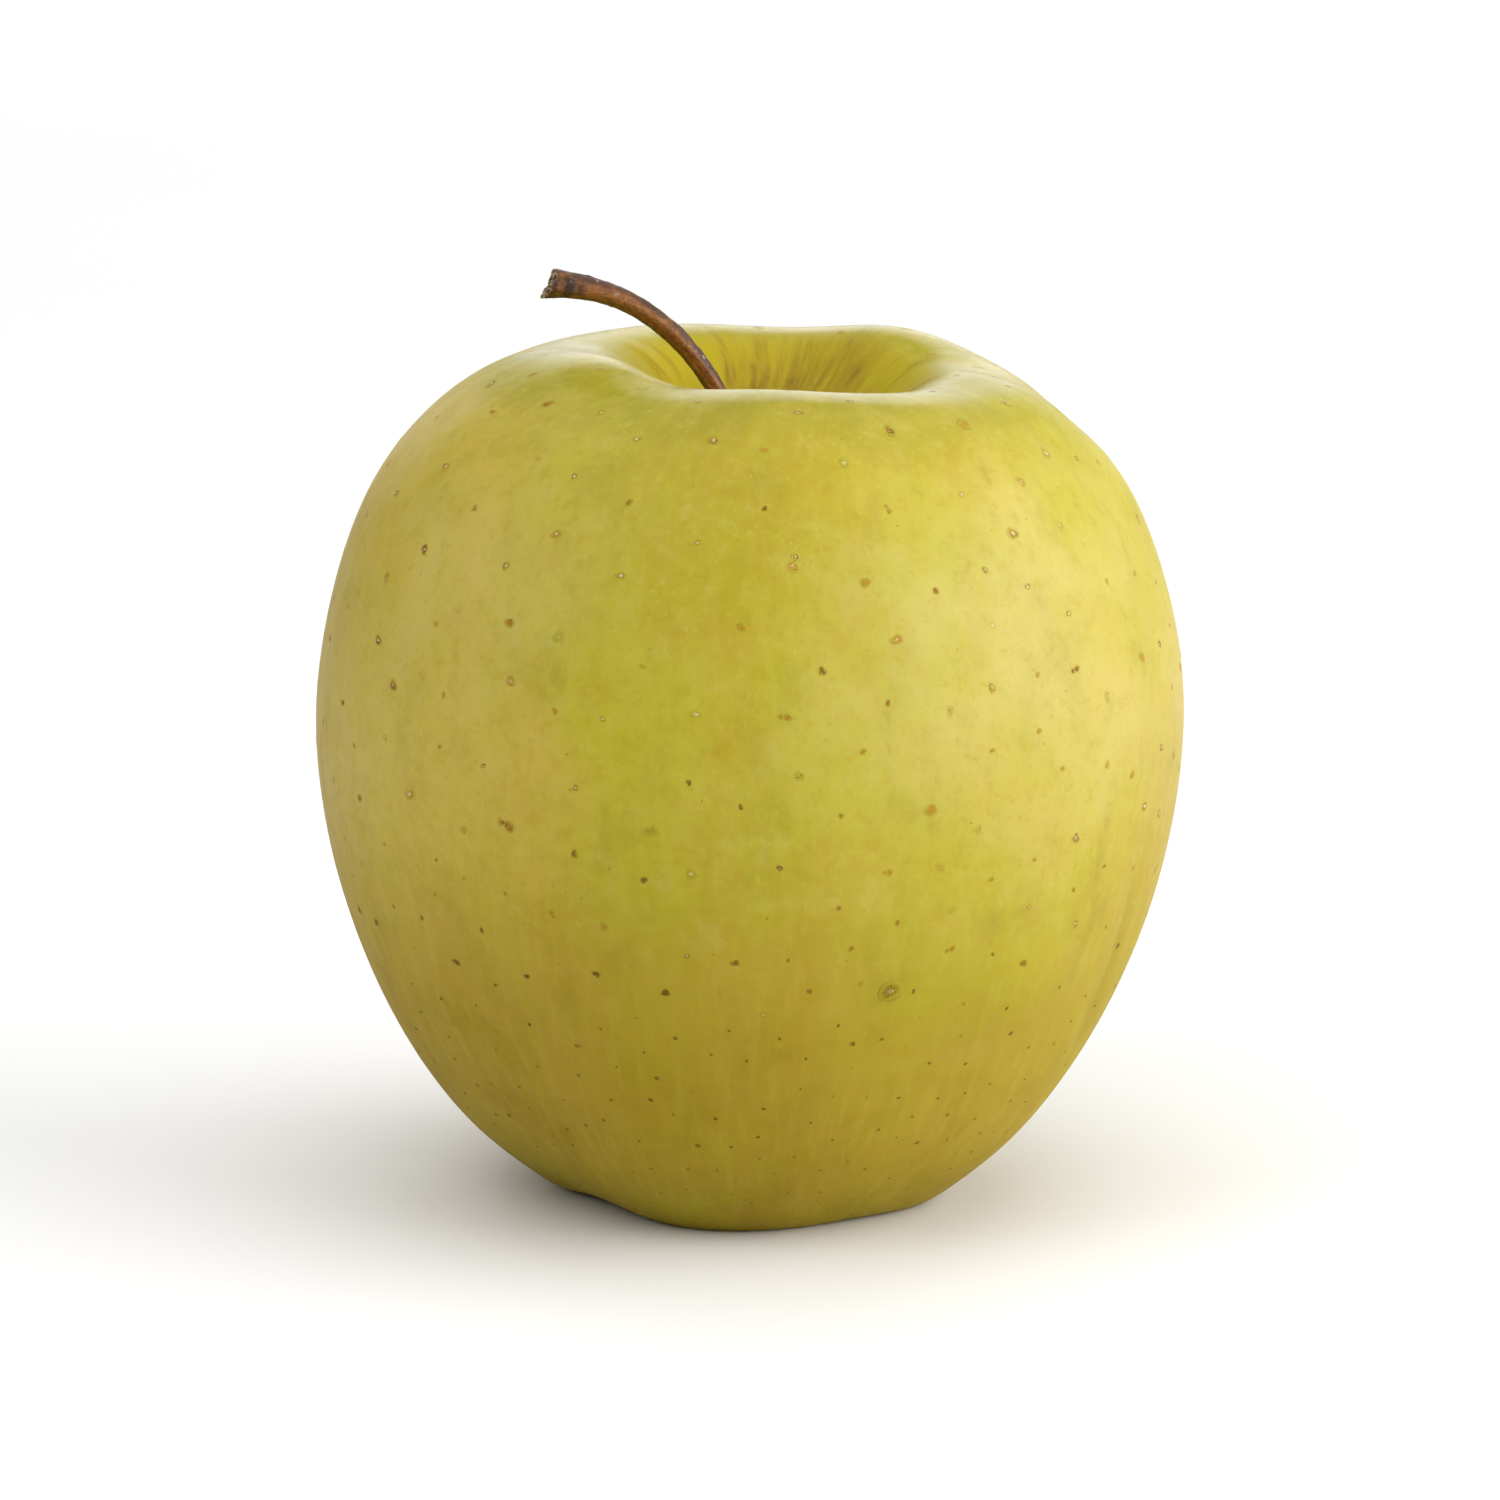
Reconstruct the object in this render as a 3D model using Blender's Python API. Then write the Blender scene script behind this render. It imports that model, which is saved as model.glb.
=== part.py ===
"""One apple with its stalk: fruit, stem, five dried sepals and a stamen tuft.

Metres, +Z up. The origin is on the ground under the middle of the bounding box.
The fruit is one outline turned about Z, then bent by five lobes: each lobe can lift
the shoulder and drop the foot by its own amount, with a groove between neighbours.
Soft swells then round out or press in the shoulder in three places.
"""
import math

import bpy
import numpy as np

MM = 0.001

# Outline of the fruit, in millimetres: (distance from the axis, height).
PIT_FLOOR = 57.4
PIT_RADIUS = 1.65
CAVITY = ((PIT_RADIUS, 60.4), (3.0, 61.4), (6.0, 65.2), (10.0, 70.0), (14.5, 73.4))
SHOULDER = ((18.8, 73.9), (24.2, 72.4), (30.8, 66.3))
FLANK = ((35.2, 57.9), (37.9, 46.6), (37.9, 37.0), (35.6, 25.4), (31.3, 15.3))
FOOT = ((24.9, 6.3), (19.9, 2.0), (15.8, 0.0), (11.5, 2.0))
BASIN = ((8.0, 5.5), (5.0, 8.8), (2.4, 10.6), (0.0, 11.0))

# Lobes, counted anticlockwise from the front one, seen from above. A lobe's lift and reach
# raise and widen its shoulder, and its drop lowers its foot. Each groove follows its lobe.
LOBES = 5
FIRST_LOBE_AZIMUTH = math.radians(-100.0)
TWIST_TO_SHOULDER = math.radians(15.0)
SHOULDER_LIFT = (0.0, -0.6, 0.2, 0.3, 0.9)
SHOULDER_REACH = (0.3, -0.5, -0.45, 0.45, -0.15)
SHOULDER_GROOVES = (0.3, 1.35, 0.6, 0.4, 0.85)
FOOT_DROP = (0.7, 0.4, 0.0, 0.5, 0.2)
FOOT_GROOVES = (0.4, 1.2, 0.6, 1.1, 0.7)
FOOT_GROOVE_INWARD = 0.03
CAVITY_SHIFT = 2.6

# Soft swells of the shoulder: (middle, reach, amount) in millimetres, away from the core.
# The negative one is a hollow behind the right lobe.
CORE = (0.0, 0.0, 40.0)
SHOULDER_SWELLS = (
    ((25.3, 1.1, 70.5), 6.2, -1.35),
    ((32.2, 0.0, 63.2), 6.9, 0.65),
    ((-19.5, 0.0, 71.1), 8.0, 0.75),
)

# Heights and radii between which the bends fade in, in millimetres.
SHOULDER_FADE_HEIGHTS = (42.0, 74.0)
SHOULDER_FADE_RADII = (1.7, 18.0)
TWIST_FADE_HEIGHTS = (20.0, 70.0)
FLANK_FADE_HEIGHTS = (45.0, 1.0)
FOOT_FADE_HEIGHTS = (24.0, 0.0)
BASIN_FADE_RADII = (2.4, 14.0)
REACH_FADE_HEIGHTS = (50.0, 66.0)
REACH_FADE_INNER = (4.0, 20.0)
REACH_FADE_OUTER = (38.0, 30.0)
SHIFT_FADE_INNER = (2.0, 14.0)
SHIFT_FADE_OUTER = (36.0, 19.0)
SHIFT_FADE_HEIGHTS = (50.0, 68.0)

# The fruit's weight presses its lowest lobe flat over this depth, so the ground is this high.
REST_SINK = 0.45
GROUND = REST_SINK - max(FOOT_DROP)

FRUIT_SIDES = 64
FRUIT_RINGS = 52
CROWDING_PER_RADIAN = 9.0
CROWDING_STEPS = 801
SHARP_EDGE_ANGLE = math.radians(50.0)

# A smooth line spaces its knots by this power of their distance, and is measured in steps.
KNOT_SPACING_POWER = 0.75
LINE_STEPS = 2001

# Stem: middle line (x, y, height) and (share of its length, thickness), in millimetres.
STEM_LINE = ((0.3, 0.0, 57.9), (0.1, 0.0, 61.5), (-1.0, 0.1, 66.5), (-3.4, 0.1, 71.8),
             (-6.6, -0.1, 75.9), (-10.9, -0.4, 79.0), (-14.6, -0.7, 80.2), (-17.5, -0.9, 80.6))
STEM_THICKNESS = ((0.0, 2.6), (0.08, 2.3), (0.25, 1.75), (0.55, 1.7), (0.8, 1.9), (0.92, 2.15), (1.0, 2.6))
STEM_END_SLANT = 0.35
STEM_SLANT_FADE = (0.85, 1.0)
STEM_SIDES = 14
STEM_RINGS = 26

# Sepal: (distance from the axis, height, width, thickness) along one lobe, in millimetres.
SEPALS = 5
SEPAL_STATIONS = ((3.1, 9.6, 2.6, 0.6), (2.9, 8.4, 2.8, 0.7), (2.8, 7.2, 2.6, 0.6), (3.1, 6.0, 2.1, 0.55),
                  (3.9, 5.1, 1.5, 0.45), (4.9, 4.7, 0.8, 0.35), (5.7, 4.9, 0.3, 0.25))
SEPAL_CURL = (1.0, 0.7, 1.15, 0.85, 1.05)
SEPAL_CURL_FROM = 2.8
FIRST_SEPAL_AZIMUTH = math.radians(-61.0)
SEPAL_SIDES = 10
SEPAL_RINGS = 12

# Stamen tuft: (radius, height) of its ribbed body, in millimetres.
TUFT_STATIONS = ((0.9, 10.3), (1.2, 9.6), (1.0, 8.4), (0.9, 7.2), (1.3, 5.9), (0.6, 5.2))
TUFT_RIBS = 7
TUFT_RIB_DEPTH = 0.14
TUFT_SIDES = 28
TUFT_RINGS = 10

SKIN_COLOUR = (0.50, 0.42, 0.08)
SKIN_ROUGHNESS = 0.34
STEM_COLOUR = (0.14, 0.06, 0.02)
STEM_ROUGHNESS = 0.55
CALYX_COLOUR = (0.10, 0.06, 0.03)
CALYX_ROUGHNESS = 0.85


def clear_scene():
    for item in list(bpy.data.objects):
        bpy.data.objects.remove(item, do_unlink=True)


def fade(start, end, value):
    """0 before start, 1 past end, smooth in between; start may be the larger one."""
    share = np.clip((value - start) / (end - start), 0.0, 1.0)
    return share ** 3 * (share * (6.0 * share - 15.0) + 10.0)


def unit(vectors):
    return vectors / np.linalg.norm(vectors, axis=-1, keepdims=True)


def turn(count):
    return 2.0 * math.pi * np.arange(count) / count


def smooth_line(knots, shares):
    """Points at the given shares of the length of the natural cubic spline through knots."""
    knots = np.asarray(knots, dtype=float)
    last = len(knots) - 1
    chords = np.linalg.norm(np.diff(knots, axis=0), axis=1)
    at = np.concatenate(([0.0], np.cumsum(chords ** KNOT_SPACING_POWER)))
    step = np.diff(at)
    system = np.eye(last + 1)
    right = np.zeros_like(knots)
    for i in range(1, last):
        system[i, i - 1:i + 2] = step[i - 1], 2.0 * (step[i - 1] + step[i]), step[i]
        slope_after = (knots[i + 1] - knots[i]) / step[i]
        slope_before = (knots[i] - knots[i - 1]) / step[i - 1]
        right[i] = 6.0 * (slope_after - slope_before)
    bend = np.linalg.solve(system, right)

    def point(x):
        i = np.clip(np.searchsorted(at, x) - 1, 0, last - 1)
        width = step[i][:, None]
        before = (at[i + 1] - x)[:, None] / width
        after = 1.0 - before
        curve = (before ** 3 - before) * bend[i] + (after ** 3 - after) * bend[i + 1]
        return before * knots[i] + after * knots[i + 1] + curve * width ** 2 / 6.0

    dense_at = np.linspace(0.0, at[-1], LINE_STEPS)
    dense = point(dense_at)
    length = np.concatenate(([0.0], np.cumsum(np.linalg.norm(np.diff(dense, axis=0), axis=1))))
    return point(np.interp(np.asarray(shares) * length[-1], length, dense_at))


def crowded_shares(knots, count):
    """Shares of the length of the line through knots, closer together where it bends."""
    even = np.linspace(0.0, 1.0, CROWDING_STEPS)
    steps = np.diff(smooth_line(knots, even), axis=0)
    heading = np.unwrap(np.arctan2(steps[:, 1], steps[:, 0]))
    gain = np.linalg.norm(steps, axis=1) + CROWDING_PER_RADIAN * np.abs(np.gradient(heading))
    measure = np.concatenate(([0.0], np.cumsum(gain)))
    return np.interp(np.linspace(0.0, measure[-1], count), measure, even)


def around(values, azimuth, first):
    """Smooth periodic curve through one value per lobe."""
    values = np.asarray(values, dtype=float)
    places = 2.0 * math.pi * np.arange(LOBES) / LOBES
    total = np.full(np.shape(azimuth), values.mean())
    for wave in (1, 2):
        cosine = (values * np.cos(wave * places)).sum() * np.cos(wave * (azimuth - first))
        sine = (values * np.sin(wave * places)).sum() * np.sin(wave * (azimuth - first))
        total = total + 2.0 / LOBES * (cosine + sine)
    return total


def lobed(radius, height, azimuth):
    """Bend a point of the turned outline into the five-lobed fruit, in millimetres."""
    first = FIRST_LOBE_AZIMUTH + TWIST_TO_SHOULDER * fade(*TWIST_FADE_HEIGHTS, height)
    first_groove = first + math.pi / LOBES
    groove = 0.5 - 0.5 * np.cos(LOBES * (azimuth - first))
    shoulder = fade(*SHOULDER_FADE_HEIGHTS, height) * fade(*SHOULDER_FADE_RADII, radius)
    flank = fade(*FLANK_FADE_HEIGHTS, height) * fade(*BASIN_FADE_RADII, radius)
    foot = fade(*FOOT_FADE_HEIGHTS, height) * fade(*BASIN_FADE_RADII, radius)
    reach = around(SHOULDER_REACH, azimuth, first) * fade(*REACH_FADE_HEIGHTS, height)
    reach = reach * fade(*REACH_FADE_INNER, radius) * fade(*REACH_FADE_OUTER, radius)
    bent_radius = radius * (1.0 - FOOT_GROOVE_INWARD * groove * flank) + reach
    shoulder_groove = groove * around(SHOULDER_GROOVES, azimuth, first_groove)
    lift = shoulder * (around(SHOULDER_LIFT, azimuth, first) - shoulder_groove)
    foot_groove = groove * around(FOOT_GROOVES, azimuth, first_groove)
    drop = foot * (around(FOOT_DROP, azimuth, first) - foot_groove)
    shift = CAVITY_SHIFT * fade(*SHIFT_FADE_INNER, radius) * fade(*SHIFT_FADE_OUTER, radius)
    shift = shift * fade(*SHIFT_FADE_HEIGHTS, height)
    x = bent_radius * np.cos(azimuth) + shift
    y = bent_radius * np.sin(azimuth)
    z = np.maximum(height + lift - drop, GROUND)
    return np.stack(np.broadcast_arrays(x, y, z), axis=-1)


def swollen(points):
    """Push the points out, or in for a negative amount, around each shoulder swell."""
    outward = unit(points - CORE)
    moved = points
    for middle, reach, amount in SHOULDER_SWELLS:
        nearness = np.exp(-np.sum((points - middle) ** 2, axis=-1, keepdims=True) / reach ** 2)
        moved = moved + amount * nearness * outward
    return moved


def ring_mesh(name, rings, start=None, end=None):
    """Closed mesh from rings of points; start and end are closing points, or None for a flat cap."""
    rings = np.asarray(rings) * MM
    count, sides = rings.shape[:2]
    points = rings.reshape(-1, 3).tolist()
    faces = []
    for i in range(count - 1):
        for j in range(sides):
            k = (j + 1) % sides
            faces.append((i * sides + j, i * sides + k, (i + 1) * sides + k, (i + 1) * sides + j))
    for ring, tip, forward in ((0, start, True), (count - 1, end, False)):
        loop = [ring * sides + j for j in range(sides)]
        if not forward:
            loop.reverse()
        if tip is None:
            faces.append(tuple(reversed(loop)))
            continue
        points.append((np.asarray(tip) * MM).tolist())
        for j in range(sides):
            faces.append((len(points) - 1, loop[(j + 1) % sides], loop[j]))
    mesh = bpy.data.meshes.new(name)
    mesh.from_pydata(points, [], faces)
    mesh.validate()
    mesh.shade_smooth()
    mesh.set_sharp_from_angle(angle=SHARP_EDGE_ANGLE)
    item = bpy.data.objects.new(name, mesh)
    bpy.context.scene.collection.objects.link(item)
    return item


def paint(item, colour, roughness):
    material = bpy.data.materials.new(item.name)
    material.use_nodes = True
    shader = material.node_tree.nodes["Principled BSDF"]
    shader.inputs["Base Color"].default_value = (*colour, 1.0)
    shader.inputs["Roughness"].default_value = roughness
    shader.inputs["Metallic"].default_value = 0.0
    item.data.materials.append(material)


def make_fruit():
    outline = tuple(reversed(CAVITY + SHOULDER + FLANK + FOOT + BASIN))
    drawn = smooth_line(outline, crowded_shares(outline, FRUIT_RINGS))
    basin_centre = (0.0, 0.0, drawn[0, 1])
    turned = np.vstack((drawn[1:], (PIT_RADIUS, PIT_FLOOR)))
    rings = swollen(lobed(turned[:, :1], turned[:, 1:], turn(FRUIT_SIDES)[None, :]))
    return ring_mesh("fruit", rings, start=basin_centre, end=(0.0, 0.0, PIT_FLOOR))


def make_stem():
    shares = np.linspace(0.0, 1.0, STEM_RINGS)
    middle = smooth_line(STEM_LINE, shares)
    along = unit(np.gradient(middle, axis=0))
    upper = unit(np.cross((0.0, 1.0, 0.0), along))
    side = np.cross(along, upper)
    places, widths = np.transpose(STEM_THICKNESS)
    half = np.interp(shares, places, widths)[:, None, None] / 2.0
    angle = turn(STEM_SIDES)[None, :, None]
    ring = half * (np.cos(angle) * upper[:, None] + np.sin(angle) * side[:, None])
    slant = STEM_END_SLANT * fade(*STEM_SLANT_FADE, shares)[:, None, None]
    rings = middle[:, None] + ring - slant * half * np.cos(angle) * along[:, None]
    return ring_mesh("stem", rings)


def make_sepal(number):
    stations = np.array(SEPAL_STATIONS)
    beyond = np.maximum(stations[:, 0] - SEPAL_CURL_FROM, 0.0)
    below_bend = np.arange(len(stations)) > np.argmin(stations[:, 0])
    stations[below_bend, 0] = SEPAL_CURL_FROM + SEPAL_CURL[number] * beyond[below_bend]
    line = smooth_line(stations, np.linspace(0.0, 1.0, SEPAL_RINGS))
    along = unit(np.gradient(line[:, :2], axis=0))
    angle = turn(SEPAL_SIDES)[None, :]
    across = line[:, 2:3] / 2.0 * np.cos(angle)
    through = line[:, 3:4] / 2.0 * np.sin(angle)
    radius = line[:, 0:1] - through * along[:, 1:2]
    height = line[:, 1:2] + through * along[:, 0:1]
    azimuth = FIRST_SEPAL_AZIMUTH + 2.0 * math.pi * number / SEPALS + across / line[:, 0:1]
    rings = np.stack((radius * np.cos(azimuth), radius * np.sin(azimuth), height), axis=-1)
    return ring_mesh("sepal_%d" % (number + 1), rings)


def make_stamen_tuft():
    line = smooth_line(TUFT_STATIONS, np.linspace(0.0, 1.0, TUFT_RINGS))
    angle = turn(TUFT_SIDES)[None, :]
    radius = line[:, :1] * (1.0 + TUFT_RIB_DEPTH * np.cos(TUFT_RIBS * angle))
    height = np.broadcast_to(line[:, 1:], radius.shape)
    rings = np.stack((radius * np.cos(angle), -radius * np.sin(angle), height), axis=-1)
    return ring_mesh("stamen_tuft", rings)


def stand_on_ground(items):
    """Move everything together so that the bounding box stands centred on the origin."""
    corners = np.array([vertex.co for item in items for vertex in item.data.vertices])
    low = corners.min(axis=0)
    high = corners.max(axis=0)
    middle = (low + high) / 2.0
    for item in items:
        item.location = (-middle[0], -middle[1], -low[2])


def main():
    clear_scene()
    fruit = make_fruit()
    stem = make_stem()
    calyx = [make_sepal(number) for number in range(SEPALS)]
    calyx.append(make_stamen_tuft())
    paint(fruit, SKIN_COLOUR, SKIN_ROUGHNESS)
    paint(stem, STEM_COLOUR, STEM_ROUGHNESS)
    for item in calyx:
        paint(item, CALYX_COLOUR, CALYX_ROUGHNESS)
    stand_on_ground([fruit, stem] + calyx)


main()
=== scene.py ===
"""Looks of one yellow-green apple with its stalk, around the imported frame.

Shapes are drawn in millimetres, in the same drawing as the CAD, and then moved into the
frame with to_frame(), which is measured on the frame's own fruit. Metres, +Z up.
"""
import math

import bpy
import numpy as np
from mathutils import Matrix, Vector


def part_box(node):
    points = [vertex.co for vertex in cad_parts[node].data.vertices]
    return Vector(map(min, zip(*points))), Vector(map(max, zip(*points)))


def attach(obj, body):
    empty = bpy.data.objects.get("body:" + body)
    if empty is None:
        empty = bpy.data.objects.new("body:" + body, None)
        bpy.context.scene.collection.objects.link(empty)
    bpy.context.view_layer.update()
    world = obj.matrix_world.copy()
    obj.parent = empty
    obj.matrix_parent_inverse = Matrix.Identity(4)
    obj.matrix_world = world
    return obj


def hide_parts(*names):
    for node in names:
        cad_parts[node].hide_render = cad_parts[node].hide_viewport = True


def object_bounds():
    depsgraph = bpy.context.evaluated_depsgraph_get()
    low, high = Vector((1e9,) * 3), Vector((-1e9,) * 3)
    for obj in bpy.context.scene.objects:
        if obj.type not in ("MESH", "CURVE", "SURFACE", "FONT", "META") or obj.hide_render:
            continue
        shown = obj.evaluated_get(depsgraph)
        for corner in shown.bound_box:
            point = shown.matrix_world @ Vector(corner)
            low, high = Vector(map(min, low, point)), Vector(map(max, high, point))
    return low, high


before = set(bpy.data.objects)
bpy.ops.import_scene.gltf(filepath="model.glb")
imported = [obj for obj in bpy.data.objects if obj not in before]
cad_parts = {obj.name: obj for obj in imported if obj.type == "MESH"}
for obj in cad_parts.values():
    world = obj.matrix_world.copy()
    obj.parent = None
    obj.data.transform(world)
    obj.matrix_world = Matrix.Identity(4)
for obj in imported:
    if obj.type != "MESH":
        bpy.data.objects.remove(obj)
cad_low, cad_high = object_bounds()

MM = 0.001
FULL_TURN = 2.0 * math.pi

# ---------------------------------------------------------------- the drawing of the fruit
# Outline in millimetres, (distance from the axis, height), from the calyx to the stem.
BASIN = ((0.0, 11.0), (2.4, 10.6), (5.0, 8.8), (8.0, 5.5))
FOOT = ((11.5, 2.0), (15.8, 0.0), (19.9, 2.0), (24.9, 6.3))
FLANK = ((31.3, 15.3), (35.6, 25.4), (37.9, 37.0), (37.9, 46.6), (35.2, 57.9))
SHOULDER = ((30.8, 66.3), (24.2, 72.4), (18.8, 73.9))
CAVITY = ((14.5, 73.4), (10.0, 70.0), (6.0, 65.2), (3.0, 61.4), (1.65, 60.4), (0.9, 59.6))
OUTLINE = BASIN + FOOT + FLANK + SHOULDER + CAVITY
PIT_FLOOR = 58.6

LOBES = 5
FIRST_LOBE = math.radians(-100.0)
TWIST_TO_SHOULDER = math.radians(15.0)
SHOULDER_LIFT = (0.0, -0.6, 0.2, 0.3, 0.9)
SHOULDER_REACH = (0.3, -0.5, -0.45, 0.45, -0.15)
SHOULDER_GROOVES = (0.3, 1.35, 0.6, 0.4, 0.85)
FOOT_DROP = (0.7, 0.4, 0.0, 0.5, 0.2)
FOOT_GROOVES = (0.4, 1.2, 0.6, 1.1, 0.7)
FOOT_GROOVE_INWARD = 0.03
CAVITY_SHIFT = 2.6
CORE = (0.0, 0.0, 40.0)
SHOULDER_SWELLS = (
    ((25.3, 1.1, 70.5), 6.2, -1.35),
    ((32.2, 0.0, 63.2), 6.9, 0.65),
    ((-19.5, 0.0, 71.1), 8.0, 0.75),
)
GROUND = 0.45 - max(FOOT_DROP)

# Relief that the CAD leaves out, in millimetres: depth, and the size of one wave.
DIMPLE_DEPTH = 0.075
DIMPLE_SIZE = 17.0
RIPPLE_DEPTH = 0.005
RIPPLE_SIZE = 3.4
PUCKER_DEPTH = 0.42
PUCKERS = ((9, 1.0, 0.4), (13, 0.7, 2.1), (17, 0.45, 4.0))
CAVITY_FLUTES = ((14, 1.0, 1.0), (23, 0.8, 3.0), (31, 0.5, 0.2))
CAVITY_FLUTE_DEPTH = 0.05
# Lengthwise creases in the flank: azimuth in degrees, height, half length and half width.
CREASES = ((-26, 24, 10.0, 1.5), (103, 25, 11.0, 1.6))
CREASE_DEPTH = 0.20

FRUIT_SIDES = 384
FRUIT_RINGS = 240
FIRST_RING_RADIUS = 0.02
GRAIN_LENGTH = 4.0
GRAIN_ENDS = ((0.0, 0.0, 0.0), (0.0, 0.0, GRAIN_LENGTH))

# A smooth line spaces its knots by this power of their distance, and is measured in steps.
KNOT_SPACING_POWER = 0.75
LINE_STEPS = 2001
WAVE_COUNT = 40


def fade(start, end, value):
    """0 before start, 1 past end, smooth in between; start may be the larger one."""
    share = np.clip((np.asarray(value) - start) / (end - start), 0.0, 1.0)
    return share ** 3 * (share * (6.0 * share - 15.0) + 10.0)


def unit(vectors):
    return vectors / np.linalg.norm(vectors, axis=-1, keepdims=True)


def turn(count):
    return FULL_TURN * np.arange(count) / count


def smooth_line(knots, shares):
    """Points at the given shares of the length of the natural cubic spline through knots."""
    knots = np.asarray(knots, dtype=float)
    last = len(knots) - 1
    chords = np.linalg.norm(np.diff(knots, axis=0), axis=1)
    at = np.concatenate(([0.0], np.cumsum(chords ** KNOT_SPACING_POWER)))
    step = np.diff(at)
    system = np.eye(last + 1)
    right = np.zeros_like(knots)
    for i in range(1, last):
        system[i, i - 1:i + 2] = step[i - 1], 2.0 * (step[i - 1] + step[i]), step[i]
        slope_after = (knots[i + 1] - knots[i]) / step[i]
        slope_before = (knots[i] - knots[i - 1]) / step[i - 1]
        right[i] = 6.0 * (slope_after - slope_before)
    bend = np.linalg.solve(system, right)

    def point(x):
        i = np.clip(np.searchsorted(at, x) - 1, 0, last - 1)
        width = step[i][:, None]
        before = (at[i + 1] - x)[:, None] / width
        after = 1.0 - before
        curve = (before ** 3 - before) * bend[i] + (after ** 3 - after) * bend[i + 1]
        return before * knots[i] + after * knots[i + 1] + curve * width ** 2 / 6.0

    dense_at = np.linspace(0.0, at[-1], LINE_STEPS)
    dense = point(dense_at)
    length = np.concatenate(([0.0], np.cumsum(np.linalg.norm(np.diff(dense, axis=0), axis=1))))
    return point(np.interp(np.asarray(shares) * length[-1], length, dense_at))


def around(values, azimuth, first):
    """Smooth periodic curve through one value per lobe."""
    values = np.asarray(values, dtype=float)
    places = FULL_TURN * np.arange(LOBES) / LOBES
    total = np.full(np.shape(azimuth), values.mean())
    for wave in (1, 2):
        cosine = (values * np.cos(wave * places)).sum() * np.cos(wave * (azimuth - first))
        sine = (values * np.sin(wave * places)).sum() * np.sin(wave * (azimuth - first))
        total = total + 2.0 / LOBES * (cosine + sine)
    return total


def lobed(radius, height, azimuth):
    """Bend a point of the turned outline into the five-lobed fruit, as the CAD does."""
    first = FIRST_LOBE + TWIST_TO_SHOULDER * fade(20.0, 70.0, height)
    first_groove = first + math.pi / LOBES
    groove = 0.5 - 0.5 * np.cos(LOBES * (azimuth - first))
    shoulder = fade(42.0, 74.0, height) * fade(1.7, 18.0, radius)
    flank = fade(45.0, 1.0, height) * fade(2.4, 14.0, radius)
    foot = fade(24.0, 0.0, height) * fade(2.4, 14.0, radius)
    reach = around(SHOULDER_REACH, azimuth, first) * fade(50.0, 66.0, height)
    reach = reach * fade(4.0, 20.0, radius) * fade(38.0, 30.0, radius)
    bent_radius = radius * (1.0 - FOOT_GROOVE_INWARD * groove * flank) + reach
    shoulder_groove = groove * around(SHOULDER_GROOVES, azimuth, first_groove)
    lift = shoulder * (around(SHOULDER_LIFT, azimuth, first) - shoulder_groove)
    foot_groove = groove * around(FOOT_GROOVES, azimuth, first_groove)
    drop = foot * (around(FOOT_DROP, azimuth, first) - foot_groove)
    shift = CAVITY_SHIFT * fade(2.0, 14.0, radius) * fade(36.0, 19.0, radius)
    shift = shift * fade(50.0, 68.0, height)
    x = bent_radius * np.cos(azimuth) + shift
    y = bent_radius * np.sin(azimuth)
    z = height + lift - drop
    return np.stack(np.broadcast_arrays(x, y, z), axis=-1)


def swollen(points):
    """Push the points out, or in for a negative amount, around each shoulder swell."""
    outward = unit(points - CORE)
    moved = points
    for middle, reach, amount in SHOULDER_SWELLS:
        nearness = np.exp(-np.sum((points - middle) ** 2, axis=-1, keepdims=True) / reach ** 2)
        moved = moved + amount * nearness * outward
    return moved


def waves(points, size, seed):
    """Smooth random field between about -1 and 1 whose bumps are about size apart."""
    draw = np.random.default_rng(seed)
    directions = unit(draw.normal(size=(WAVE_COUNT, 3)))
    lengths = draw.uniform(0.7, 1.5, WAVE_COUNT) / size
    starts = draw.uniform(0.0, FULL_TURN, WAVE_COUNT)
    total = np.zeros(points.shape[:-1])
    for direction, length, start in zip(directions, lengths, starts):
        total += np.cos(FULL_TURN * length * (points @ direction) + start)
    return total / math.sqrt(2.0 * WAVE_COUNT)


def creased(points):
    """1 along the middle of a crease, 0 away from it."""
    total = np.zeros(points.shape[:-1])
    for azimuth, height, half_length, half_width in CREASES:
        way = math.radians(azimuth)
        across = points[..., 1] * math.cos(way) - points[..., 0] * math.sin(way)
        facing = points[..., 0] * math.cos(way) + points[..., 1] * math.sin(way) > 0.0
        along = (points[..., 2] - height) / half_length
        total += facing * np.exp(-(across / half_width) ** 2 - along ** 4)
    return total


def folds(table, azimuth):
    """Sum of folds around the axis, each (count, weight, start)."""
    return sum(weight * np.cos(count * azimuth + start) for count, weight, start in table)


def surface_normals(points):
    """Outward unit normals of a closed-in-azimuth grid of points, rings by sides."""
    across = np.roll(points, -1, axis=1) - np.roll(points, 1, axis=1)
    along = np.gradient(points, axis=0)
    return unit(np.cross(across, along))


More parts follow.
